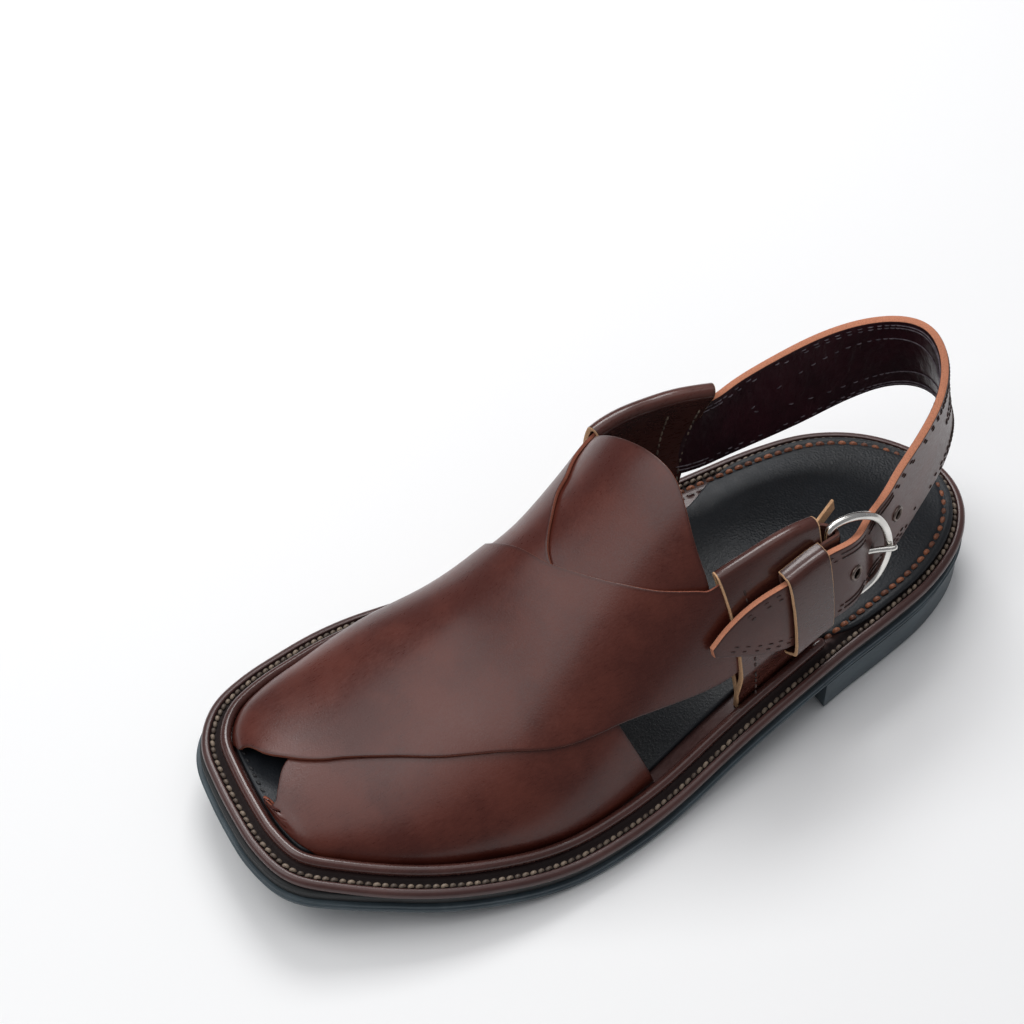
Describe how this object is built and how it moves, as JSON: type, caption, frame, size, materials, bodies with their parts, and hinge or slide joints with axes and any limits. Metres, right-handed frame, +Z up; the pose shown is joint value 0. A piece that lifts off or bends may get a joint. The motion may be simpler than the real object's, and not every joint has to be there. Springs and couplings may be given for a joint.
{
  "type": "sandal",
  "caption": "Leather charsadda chappal sandal for the left foot, crossing vamp bands, tongue, buckled heel strap, black insole, rubber sole",
  "frame": {"origin": "on the floor, at the middle of the heel block's flat bottom", "axes": "+Y to the heel and -Y to the toe, +X to the foot's outer side, +Z up"},
  "size_m": [0.1277, 0.2915, 0.1025],
  "materials": {
    "upper_leather": "polished deep reddish brown",
    "strap_leather": "waxed brown",
    "welt_leather": "waxed brown with dark edge",
    "insole_cover": "grained black",
    "sole_rubber": "matt slate blue black",
    "midsole_black": "matt black",
    "nickel": "polished nickel"
  },
  "bodies": {
    "root": {"outsole": "sole_rubber", "heel": "sole_rubber", "midsole": "midsole_black", "welt": "welt_leather", "welt_bead": "upper_leather", "insole": "insole_cover", "upper": "upper_leather", "quarter_lateral": "strap_leather", "quarter_medial": "strap_leather", "heel_strap": "strap_leather", "buckle_chape": "strap_leather", "strap_keeper": "strap_leather", "buckle_frame": "nickel", "buckle_prong": "nickel", "eyelet_1": "nickel", "eyelet_2": "nickel"}
  },
  "joints": []
}
